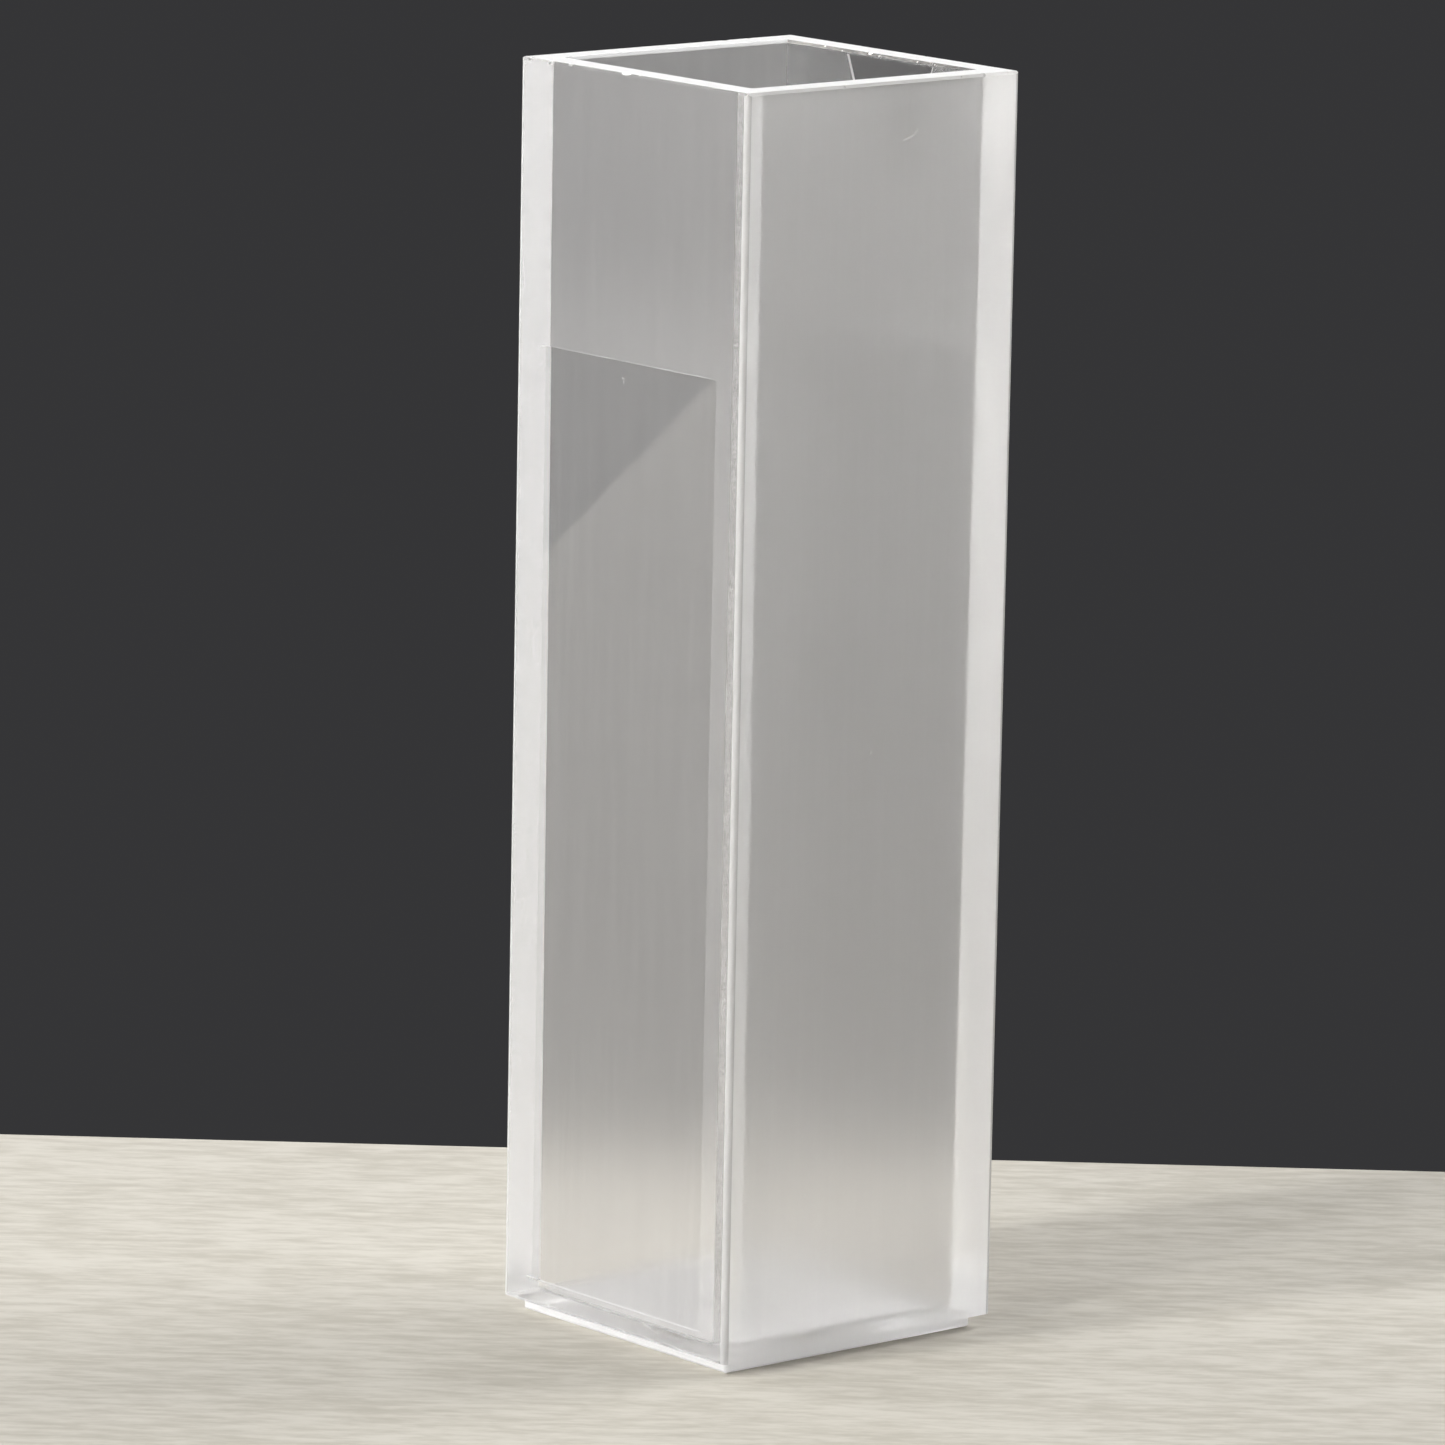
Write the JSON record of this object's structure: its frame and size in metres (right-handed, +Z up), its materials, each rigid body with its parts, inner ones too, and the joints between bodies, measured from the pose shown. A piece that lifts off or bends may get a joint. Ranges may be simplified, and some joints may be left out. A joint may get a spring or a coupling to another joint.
{
  "type": "square cuvette",
  "caption": "Square clear plastic cuvette, open at the top, with two clear windows, two frosted sides and a small set-back foot.",
  "frame": {"origin": "centre of the foot's lower face", "axes": "+Z up the well to the rim; the light passes along X, through the two clear windows; the frosted sides face +Y and -Y; the arrow is on the +X side"},
  "size_m": [0.0124, 0.0124, 0.045],
  "materials": {
    "cuvette": "clear polystyrene, polished windows on two sides, frosted on the other two"
  },
  "bodies": {
    "root": {"cuvette": "cuvette"}
  },
  "joints": []
}
